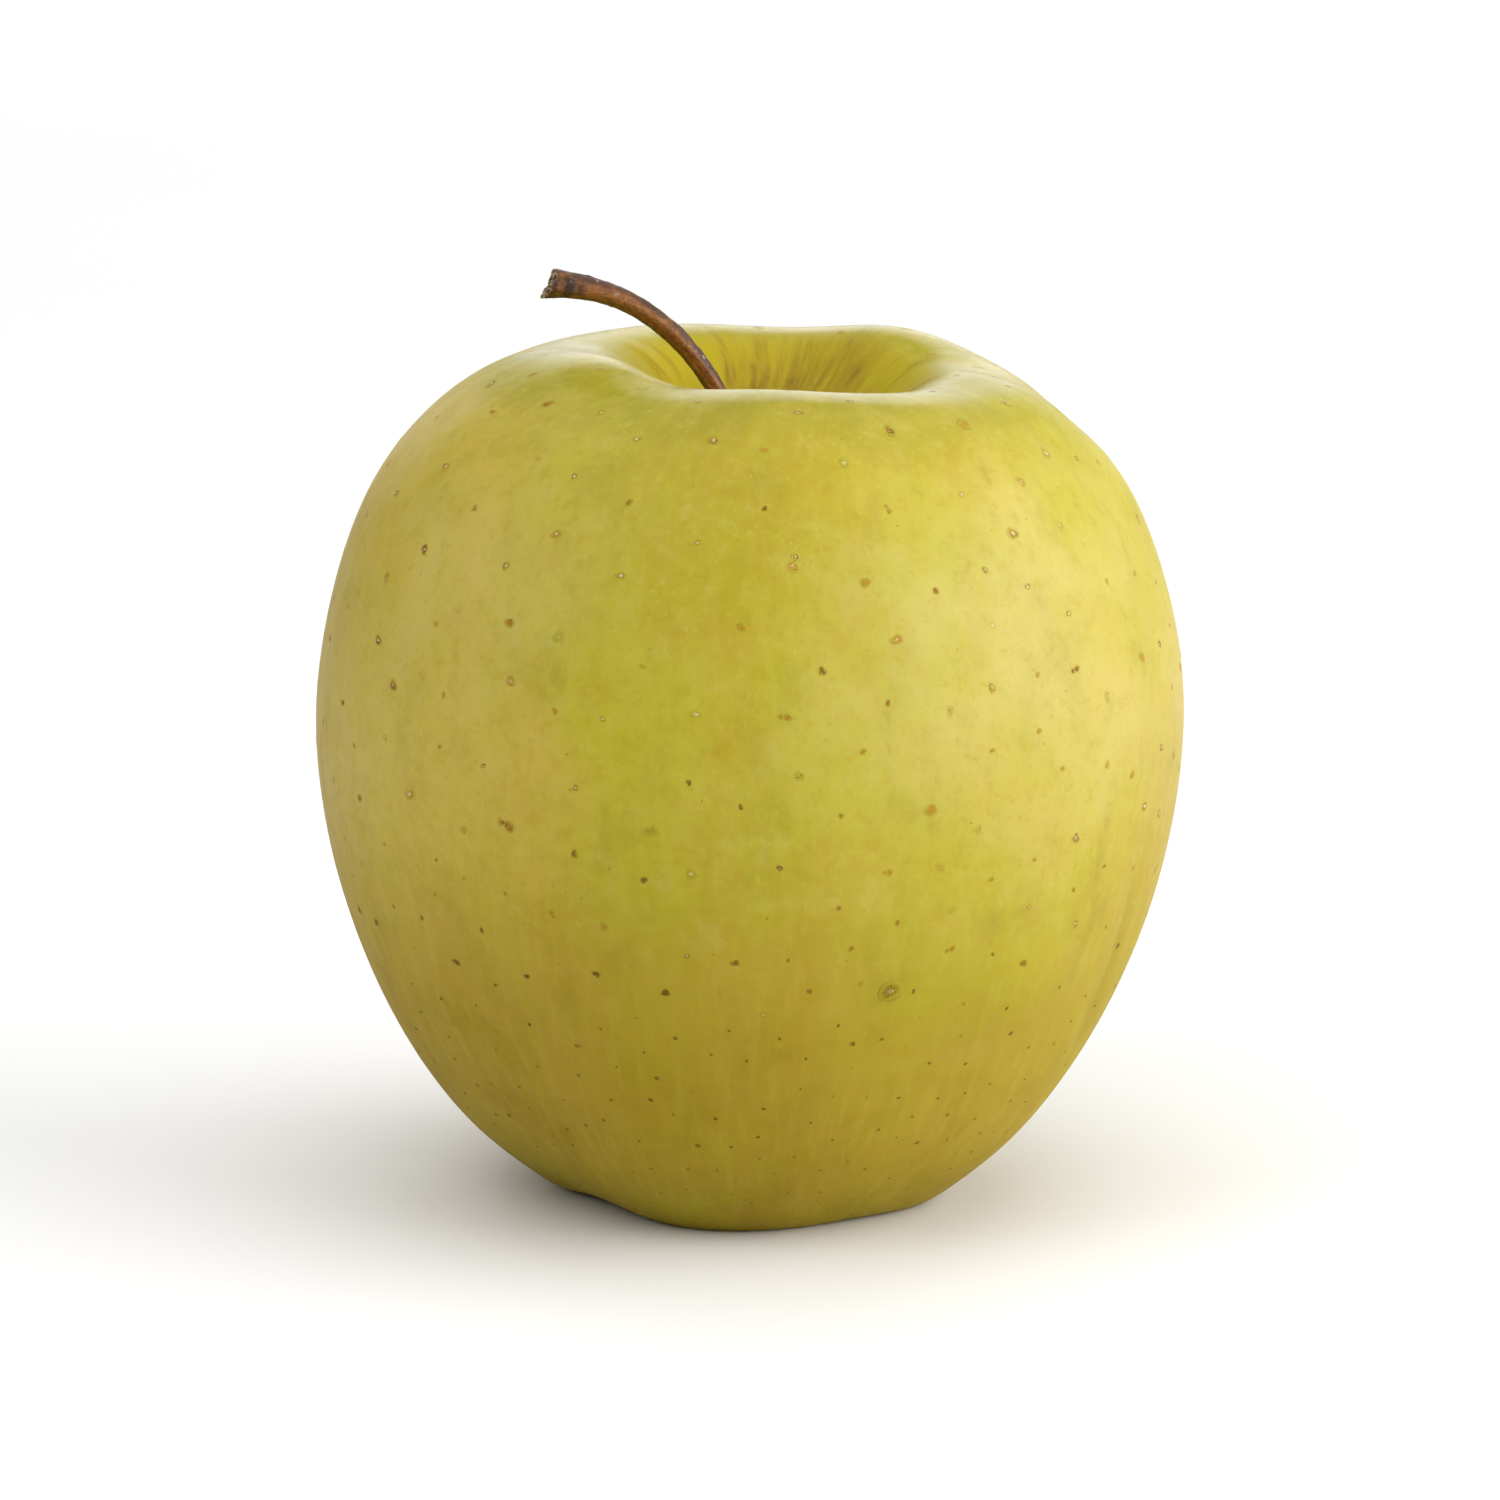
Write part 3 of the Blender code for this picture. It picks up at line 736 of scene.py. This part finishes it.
def stem_material():
    s = Shader("stem_bark")
    grain = s.vector_mark("grain")
    upper, end_face, knob = s.mark("zone")
    fibre = s.noise(0.35, 4.0, 0.6, s.scaled(grain, (1.0, 1.0, 6.0)))
    patches = s.noise(2.2, 3.0, 0.6)
    colour = s.mix(s.steps(fibre, 0.38, 0.66), STEM_MIDDLE, STEM_WARM)
    shade = s.maths("ADD", upper, s.steps(patches, 0.3, 0.7, -0.25, 0.25))
    colour = s.mix(s.steps(shade, 0.45, 1.0), colour, STEM_UPPER)
    colour = s.mix(s.steps(shade, -0.35, -0.85, 0.0, 0.85), colour, STEM_LOWER)
    lines = s.noise(0.12, 2.0, 0.5, s.scaled(grain, (1.0, 1.0, 1.2)))
    colour = s.mix(s.steps(lines, 0.56, 0.66, 0.0, 0.6), colour, STEM_DARK)
    dark_knob = s.maths("MULTIPLY", knob, s.steps(s.noise(0.9, 3.0, 0.6), 0.35, 0.6))
    colour = s.mix(dark_knob, colour, STEM_DARK)
    scale = s.steps(s.noise(0.55, 3.0, 0.7), 0.62, 0.68, 0.0, 0.8)
    colour = s.mix(s.maths("MULTIPLY", scale, s.steps(shade, 0.0, 0.7)), colour, STEM_SCALE)
    torn = s.mix(s.steps(s.noise(0.35, 3.0, 0.6), 0.4, 0.6), STEM_CUT, STEM_DARK)
    colour = s.mix(end_face, colour, torn)
    s.relief(s.maths("ADD", lines, s.noise(0.3, 3.0, 0.6)), 0.05)
    rough = s.steps(s.noise(0.8, 3.0, 0.6), 0.3, 0.7, 0.34, 0.6)
    return s.finish(colour, rough, Coat_Weight=0.05, Coat_Roughness=0.3, IOR=1.4)


def dry_material(name, dark, light, tip):
    """Withered tissue with light veins, and another colour towards its tip."""
    s = Shader(name)
    along = s.mark("grain")[2]
    grain = s.vector_mark("grain")
    veins = s.noise(0.22, 3.0, 0.6, s.scaled(grain, (1.0, 1.0, 0.6)))
    colour = s.mix(s.steps(veins, 0.4, 0.65), dark, light)
    colour = s.mix(s.steps(s.noise(0.6, 3.0, 0.6), 0.5, 0.7, 0.0, 0.5), colour, dark)
    colour = s.mix(s.steps(along, 0.6, 1.0, 0.0, 0.7), colour, tip)
    s.relief(s.maths("ADD", veins, s.noise(0.25, 3.0, 0.6)), 0.08)
    return s.finish(colour, s.steps(veins, 0.3, 0.7, 0.7, 0.95), IOR=1.4)


# ---------------------------------------------------------------- fruit
def patches(points, table, from_axis=SKIN_REACH):
    """Sum of soft round patches on the skin."""
    total = np.zeros(len(points))
    for azimuth, height, reach, strength in table:
        way = math.radians(azimuth)
        centre = np.array((from_axis * math.cos(way), from_axis * math.sin(way), height))
        total += strength * np.exp(-np.sum((points - centre) ** 2, axis=1) / reach ** 2)
    return total


def skin_tones(points):
    """Warm, olive and deep green shares of the skin at each drawn point. The olive share, darker towards the
    bottom, is partly real olive colour and partly painted shade; the deep green share is partly painted shade
    on the shoulder round the cavity, and painted shade along the creases.
    """
    radius = np.hypot(points[:, 0] - CAVITY_SHIFT, points[:, 1])
    height = points[:, 2]
    warm = patches(points, WARM_PATCHES) - patches(points, GREEN_PATCHES)
    side = patches(points, OLIVE_AND_SHADE_PATCHES)
    # darker towards the bottom: partly real olive, partly painted shade
    olive_and_shade = fade(50.0, 8.0, height) * (0.68 + 0.32 * side)
    # deeper green on the shoulder round the cavity, partly painted shade; deeper green along the creases,
    # painted shade
    deep_and_shade = fade(30.0, 23.0, radius) * fade(56.0, 67.0, height) + 0.75 * creased(points)
    return np.stack((warm, olive_and_shade, deep_and_shade), axis=-1)


def skin_sleek_and_painted_light(points):
    """Sleek wax round the stem, pale patches of painted highlight on the cheeks, and darker patches of
    painted shade, at each drawn point.
    """
    radius = np.hypot(points[:, 0] - CAVITY_SHIFT, points[:, 1])
    sleek = fade(25.5, 20.0, radius) * fade(64.0, 70.0, points[:, 2]) * fade(12.0, 17.0, radius)
    # pale patches of painted highlight
    painted_highlight = np.clip(patches(points, PAINTED_HIGHLIGHT_PATCHES), 0.0, 1.0)
    # darker patches of painted shade
    painted_shade = np.clip(patches(points, PAINTED_SHADE_PATCHES), 0.0, 1.0)
    return np.stack((sleek, painted_highlight, painted_shade), axis=-1)


def make_fruit(material):
    rings, sides = fruit_points.shape[:2]
    eye = fruit_points[0].mean(axis=0)
    pit = np.array([*fruit_points[-1].mean(axis=0)[:2], PIT_FLOOR])
    points, faces = closed_tube(fruit_points, eye, pit)
    azimuth = np.broadcast_to(fruit_azimuths[None, :], (rings, sides))
    share = np.broadcast_to(fruit_shares[:, None], (rings, sides))
    grain = np.stack((np.cos(azimuth), np.sin(azimuth), share * GRAIN_LENGTH), axis=-1)
    radius = fruit_drawn[:, 0]
    height = fruit_drawn[:, 1]
    upper = height > CORE[2]
    cavity = fade(17.5, 12.5, radius) * upper
    basin = fade(12.0, 7.0, radius) * ~upper
    floor = fade(7.5, 2.0, radius) * upper + 0.6 * fade(4.5, 2.0, radius) * ~upper
    zone = np.repeat(np.stack((cavity, basin, floor), axis=-1), sides, axis=0)
    streaked = patches(points, CAVITY_STREAK_PATCHES, CAVITY_REACH)
    marks = {
        "grain": np.vstack((grain.reshape(-1, 3), GRAIN_ENDS)),
        "tone": skin_tones(points),
        "sleek_and_painted_light": skin_sleek_and_painted_light(points),
        "zone": np.vstack((zone, [(0.0, 1.0, 0.6), (1.0, 0.0, 1.0)])),
        "lining": np.repeat(streaked[:, None], 3, axis=1),
    }
    return new_object("apple_skin", points, faces, material, marks)


# ---------------------------------------------------------------- stem
STEM_LINE = ((0.3, 0.0, 57.9), (0.1, 0.0, 61.5), (-1.0, 0.1, 66.5), (-3.4, 0.1, 71.8),
             (-6.6, -0.1, 75.9), (-10.9, -0.4, 79.0), (-14.6, -0.7, 80.2), (-17.5, -0.9, 80.6))
STEM_THICKNESS = ((0.0, 2.6), (0.08, 2.3), (0.25, 1.75), (0.55, 1.7), (0.8, 1.9), (0.92, 2.15), (1.0, 2.6))
THICKNESS_SPREAD = 10.0
THICKNESS_STEPS = 400
STEM_SLANT = 0.35
STEM_TWIST = 1.1
STEM_SIDES = 56
STEM_RINGS = 260
# Ribs: (count, depth, start). Lumps: (share of the length, angle, height).
STEM_RIBS = ((3, 0.05, 0.7), (5, 0.035, 2.0), (9, 0.018, 0.4), (14, 0.012, 1.2))
STEM_LUMPS = ((0.36, 0.9, 0.12), (0.62, -0.4, 0.10), (0.9, 1.3, 0.20))
STEM_LUMP_LENGTH = 0.03
STEM_CAP_STEPS = 7
STEM_CAP_SEED = 5
STEM_CAP_DEPTH = 0.3


def make_stem(material):
    """Ribbed, twisted stalk with a few lumps, a flared end and a torn face on it."""
    shares = np.linspace(0.0, 1.0, STEM_RINGS)
    middle = smooth_line(STEM_LINE, shares)
    places, widths = np.transpose(STEM_THICKNESS)
    knots = np.stack((places * THICKNESS_SPREAD, widths), axis=-1)
    soft = smooth_line(knots, np.linspace(0, 1, THICKNESS_STEPS))
    half = np.interp(shares * THICKNESS_SPREAD, soft[:, 0], soft[:, 1]) / 2.0
    angle = turn(STEM_SIDES)[None, :]
    twist = STEM_TWIST * shares[:, None]
    factor = np.ones((STEM_RINGS, STEM_SIDES))
    for count, depth, start in STEM_RIBS:
        factor = factor + depth * np.cos(count * (angle + twist) + start + 2.0 * shares[:, None])
    for share, at, rise in STEM_LUMPS:
        lump = np.exp(-((shares[:, None] - share) / STEM_LUMP_LENGTH) ** 2)
        factor = factor + rise * lump * np.exp(2.0 * (np.cos(angle - at) - 1.0))
    flare = fade(0.93, 1.0, shares)[:, None]
    factor = factor + flare * (0.06 * np.cos(2 * angle + 0.6) + 0.05 * np.cos(5 * angle + 2.0))
    rings, along = tube_rings(middle, half[:, None] * factor, STEM_SIDES)
    rough = waves(rings, 1.1, 31) * 0.025 + waves(rings, 0.45, 32) * 0.012
    outward = unit(rings - middle[:, None])
    rings = rings + outward * rough[..., None]
    slant = STEM_SLANT * fade(0.85, 1.0, shares)[:, None, None] * half[:, None, None]
    ragged = 0.12 * fade(0.97, 1.0, shares)[:, None]
    ragged = ragged * (np.cos(3 * angle + 1.0) + 0.7 * np.cos(7 * angle))
    rings = rings - (slant * np.cos(angle)[..., None] + ragged[..., None]) * along[:, None]

    caps = []
    last = rings[-1]
    centre = last.mean(axis=0)
    draw = np.random.default_rng(STEM_CAP_SEED)
    for step in range(1, STEM_CAP_STEPS):
        inward = step / STEM_CAP_STEPS
        ring = last + (centre - last) * inward
        lip = 0.10 * math.sin(math.pi * min(inward * 2.2, 1.0)) - 0.28 * inward ** 1.5
        crumbs = draw.uniform(-0.05, 0.05, (STEM_SIDES, 1))
        caps.append(ring + (lip + crumbs) * along[-1])
    rings = np.concatenate((rings, np.array(caps)))
    points, faces = closed_tube(rings, middle[0], centre - STEM_CAP_DEPTH * along[-1])

    capped = np.ones(STEM_CAP_STEPS - 1)
    share = np.concatenate((shares, capped))[:, None]
    turned = angle + STEM_TWIST * share
    grain = np.stack(np.broadcast_arrays(np.cos(turned), np.sin(turned), share * GRAIN_LENGTH), axis=-1)
    end_face = np.concatenate((fade(0.985, 1.0, shares), capped))[:, None]
    knob = fade(0.86, 0.95, share)
    zone = np.stack(np.broadcast_arrays(np.cos(angle), end_face, knob), axis=-1)
    marks = {
        "grain": np.vstack((grain.reshape(-1, 3), GRAIN_ENDS)),
        "zone": np.vstack((zone.reshape(-1, 3), [(0.0, 0.0, 0.0), (0.0, 1.0, 1.0)])),
    }
    return new_object("stalk", points, faces, material, marks)


# ---------------------------------------------------------------- calyx
# Sepal: (distance from the axis, height, width, thickness) along one lobe, in millimetres.
SEPALS = 5
SEPAL_STATIONS = ((3.1, 9.6, 2.6, 0.6), (2.9, 8.4, 2.8, 0.7), (2.8, 7.2, 2.6, 0.6), (3.1, 6.0, 2.1, 0.55),
                  (3.9, 5.1, 1.5, 0.45), (4.9, 4.7, 0.8, 0.35), (5.7, 4.9, 0.3, 0.25))
SEPAL_CURL = (1.0, 0.7, 1.15, 0.85, 1.05)
SEPAL_CURL_FROM = 2.8
FIRST_SEPAL = math.radians(-61.0)
SEPAL_RINGS = 64
SEPAL_SIDES = 40
SEPAL_ROOT = (0.1, 1.3, 0.2, 0.1)
SEPAL_SEED = 100
DOWN_HAIRS = 70
HAIR_SIDES = 4
HAIR_POINTS = 4
HAIR_THICKNESS = 0.022
HAIR_ROOT_DEPTH = 0.05
HAIR_FIRST_AXIS = (0.31, 0.85, 0.42)


def make_sepal(number, material):
    """Dried calyx lobe: a curled, wrinkled tongue with a midrib and short down on it."""
    stations = np.array(SEPAL_STATIONS)
    beyond = np.maximum(stations[:, 0] - SEPAL_CURL_FROM, 0.0)
    below_bend = np.arange(len(stations)) > np.argmin(stations[:, 0])
    stations[below_bend, 0] = SEPAL_CURL_FROM + SEPAL_CURL[number] * beyond[below_bend]
    root = stations[0] + SEPAL_ROOT
    shares = np.linspace(0.0, 1.0, SEPAL_RINGS)
    line = smooth_line(np.vstack((root, stations)), shares)
    along = unit(np.gradient(line[:, :2], axis=0))
    angle = turn(SEPAL_SIDES)[None, :]
    edge = np.cos(angle)
    share = shares[:, None]
    width = line[:, 2:3]
    draw = np.random.default_rng(SEPAL_SEED + number)
    phase = draw.uniform(0.0, FULL_TURN, 3)
    curl_in = 0.35 * edge ** 2 * fade(0.1, 0.6, share)
    ripple = 0.10 * edge * np.sin(9.0 * share * math.pi + phase[0]) * fade(0.2, 0.5, share)
    midrib = 0.10 * np.exp(-(edge / 0.22) ** 2) * fade(1.0, 0.7, share)
    thickness = line[:, 3:4] * (0.62 + 0.38 * (1.0 - edge ** 2))
    across = width / 2.0 * edge * (1.0 + 0.06 * np.sin(14.0 * share * math.pi + phase[1]))
    through = thickness / 2.0 * np.sin(angle) * 0.7 - curl_in * width * 0.5 + ripple + midrib
    radius = line[:, 0:1] - through * along[:, 1:2]
    height = line[:, 1:2] + through * along[:, 0:1]
    azimuth = FIRST_SEPAL + FULL_TURN * number / SEPALS + across / np.maximum(line[:, 0:1], 2.0)
    rings = np.stack((radius * np.cos(azimuth), radius * np.sin(azimuth), height), axis=-1)
    crumple = waves(rings, 0.8, SEPAL_SEED + number) * 0.035
    rings = rings + crumple[..., None] * surface_normals(rings)
    body_points, body_faces = closed_tube(rings, rings[0].mean(axis=0), rings[-1].mean(axis=0))
    grain = np.stack(np.broadcast_arrays(edge * 1.5, np.abs(edge), share), axis=-1)
    body_marks = np.vstack((grain.reshape(-1, 3), [(0.0, 0.0, 0.0), (0.0, 0.0, 1.0)]))
    bodies = [(body_points, body_faces, body_marks)]
    normals = surface_normals(rings)
    for _ in range(DOWN_HAIRS):
        i = int(draw.integers(6, SEPAL_RINGS - 3))
        j = int(draw.integers(0, SEPAL_SIDES))
        length = draw.uniform(0.25, 0.6)
        bodies.append(hair(rings[i, j], normals[i, j], length, draw, 0.3 + 0.6 * shares[i]))
    points, faces, marks = join_bodies(bodies)
    return new_object("sepal_leaf_%d" % (number + 1), points, faces, material, {"grain": marks})


def hair(start, direction, length, draw, tone):
    """One short bent hair as a closed tapered tube."""
    lean = unit(direction + draw.normal(size=3) * 0.45)
    bend = draw.normal(size=3) * 0.25
    steps = np.linspace(0.0, 1.0, HAIR_POINTS)[:, None]
    middle = start - lean * HAIR_ROOT_DEPTH + length * (steps * lean + steps ** 2 * bend)
    radii = HAIR_THICKNESS * (1.05 - steps[:, 0])
    rings, _ = tube_rings(middle, radii, HAIR_SIDES, HAIR_FIRST_AXIS)
    points, faces = closed_tube(rings, middle[0], middle[-1])
    return points, faces, np.tile((0.0, 1.0, tone), (len(points), 1))


STAMENS = 18
STYLES = 5
STAMEN_ROOT = 11.3
STAMEN_LOWEST = 5.4
STAMEN_SEED = 77
STAMEN_WAVE_SEED = 300
STAMEN_SIDES = 9
STAMEN_RINGS = 26
STAMEN_FIRST_AXIS = (0.2, 0.9, 0.3)
ANTHER_AT = 0.93


def make_stamens(material):
    """Withered stamens round five styles that stand together, all from the eye of the calyx."""
    draw = np.random.default_rng(STAMEN_SEED)
    bodies = []
    for number in range(STAMENS + STYLES):
        is_style = number >= STAMENS
        azimuth = FULL_TURN * number / (STYLES if is_style else STAMENS)
        azimuth = azimuth + draw.uniform(-0.15, 0.15)
        spread = draw.uniform(0.1, 0.3) if is_style else draw.uniform(0.75, 1.05)
        reach = draw.uniform(0.2, 0.6) if is_style else draw.uniform(0.5, 1.15)
        low = STAMEN_LOWEST + draw.uniform(0.0, 0.7 if is_style else 2.2)
        out = np.array((math.cos(azimuth), math.sin(azimuth), 0.0))
        bend = np.array((-out[1], out[0], 0.0)) * draw.uniform(-0.5, 0.5)
        knots = [
            out * spread + (0, 0, STAMEN_ROOT),
            out * (spread + 0.1) + (0, 0, 0.6 * STAMEN_ROOT + 0.4 * low),
            out * reach * 1.2 + bend + (0, 0, low + 0.5),
            out * reach * 0.9 + bend * 1.6 + (0, 0, low),
        ]
        shares = np.linspace(0.0, 1.0, STAMEN_RINGS)
        middle = smooth_line(knots, shares)
        radii = 0.11 + 0.02 * np.cos(9.0 * shares * math.pi + number)
        radii = radii * (1.25 if is_style else 1.0)
        radii = radii + 0.13 * np.exp(-((shares - ANTHER_AT) / 0.05) ** 2)
        rings, _ = tube_rings(middle, radii, STAMEN_SIDES, STAMEN_FIRST_AXIS)
        rings = rings + (waves(rings, 0.5, STAMEN_WAVE_SEED + number) * 0.02)[..., None]
        points, faces = closed_tube(rings, middle[0], rings[-1].mean(axis=0))
        share = np.concatenate((np.repeat(shares, STAMEN_SIDES), (0.0, 1.0)))
        marks = np.stack(np.broadcast_arrays(0.2 * number, 0.0, share * 0.8), axis=-1)
        bodies.append((points, faces, marks))
    points, faces, marks = join_bodies(bodies)
    return new_object("stamens", points, faces, material, {"grain": marks})


# ---------------------------------------------------------------- pieces into the frame
skin = skin_material("apple_skin")
apple = make_fruit(skin)
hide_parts("fruit")
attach(apple, "root")

lenticels = make_lenticels(skin)
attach(lenticels, "root")

stalk = make_stem(stem_material())
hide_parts("stem")
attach(stalk, "root")

calyx_leaf = dry_material("dried_calyx", CALYX_DARK, CALYX_LIGHT, CALYX_TIP)
for sepal_number in range(SEPALS):
    sepal = make_sepal(sepal_number, calyx_leaf)
    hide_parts("sepal_%d" % (sepal_number + 1))
    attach(sepal, "root")

stamens = make_stamens(dry_material("dried_stamens", STAMEN_DARK, STAMEN_LIGHT, STAMEN_TIP))
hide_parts("stamen_tuft")
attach(stamens, "root")

# ---------------------------------------------------------------- camera, floor and light
CAMERA_ELEVATION = math.radians(12.2)
CAMERA_DISTANCE = 0.75
LENS_PER_SENSOR = 5.675
AIM_HEIGHT_SHARE = 0.4765

aim = Vector((0.0, 0.0, cad_low.z + (cad_high.z - cad_low.z) * AIM_HEIGHT_SHARE))
camera_data = bpy.data.cameras.new("camera")
camera_data.lens = camera_data.sensor_width * LENS_PER_SENSOR
camera = bpy.data.objects.new("camera", camera_data)
bpy.context.scene.collection.objects.link(camera)
back = Vector((0.0, -math.cos(CAMERA_ELEVATION), math.sin(CAMERA_ELEVATION)))
camera.location = aim + back * CAMERA_DISTANCE
camera.rotation_euler = (-back).to_track_quat("-Z", "Y").to_euler()
bpy.context.scene.camera = camera


def add_softbox(name, azimuth, elevation, distance, width, height, power):
    """Area light that faces the object; azimuth is measured from +X towards +Y, in degrees."""
    data = bpy.data.lights.new(name, "AREA")
    data.shape = "RECTANGLE"
    data.size = width
    data.size_y = height
    data.energy = power
    light = bpy.data.objects.new(name, data)
    turned, raised = math.radians(azimuth), math.radians(elevation)
    level = math.cos(raised)
    way = Vector((math.cos(turned) * level, math.sin(turned) * level, math.sin(raised)))
    light.location = aim + way * distance
    light.rotation_euler = way.to_track_quat("Z", "Y").to_euler()
    bpy.context.scene.collection.objects.link(light)


add_softbox("right_key", -13.0, 20.0, 0.9, 1.1, 0.8, 11.2)
add_softbox("left_front", -146.0, 40.0, 0.9, 0.5, 0.7, 2.7)
add_softbox("front_top", -95.0, 50.0, 1.1, 1.0, 1.0, 3.2)
add_softbox("top", 90.0, 78.0, 1.5, 2.0, 1.6, 16.0)
add_softbox("back", 90.0, 17.0, 1.2, 1.4, 0.64, 4.4)

WORLD_STRENGTH = 0.07
world = bpy.data.worlds.new("studio")
bpy.context.scene.world = world
world.use_nodes = True
background = world.node_tree.nodes["Background"]
background.inputs["Color"].default_value = (1.0, 1.0, 1.0, 1.0)
background.inputs["Strength"].default_value = WORLD_STRENGTH

FLOOR_HALF = 3.0
FLOOR_CORNERS = ((-1, -1), (1, -1), (1, 1), (-1, 1))
FLOOR_DARK = (0.87, 0.87, 0.87)
FLOOR_LIGHT = (0.89, 0.89, 0.89)
floor_points = [(x * FLOOR_HALF, y * FLOOR_HALF, cad_low.z) for x, y in FLOOR_CORNERS]
floor_mesh = bpy.data.meshes.new("floor")
floor_mesh.from_pydata(floor_points, [], [(0, 1, 2, 3)])
floor = bpy.data.objects.new("floor", floor_mesh)
bpy.context.scene.collection.objects.link(floor)
floor_look = Shader("floor")
floor_tone = floor_look.mix(floor_look.noise(140.0, 2.0), FLOOR_DARK, FLOOR_LIGHT)
floor_mesh.materials.append(floor_look.finish(floor_tone, 0.9))

bpy.context.scene.view_settings.view_transform = "Standard"
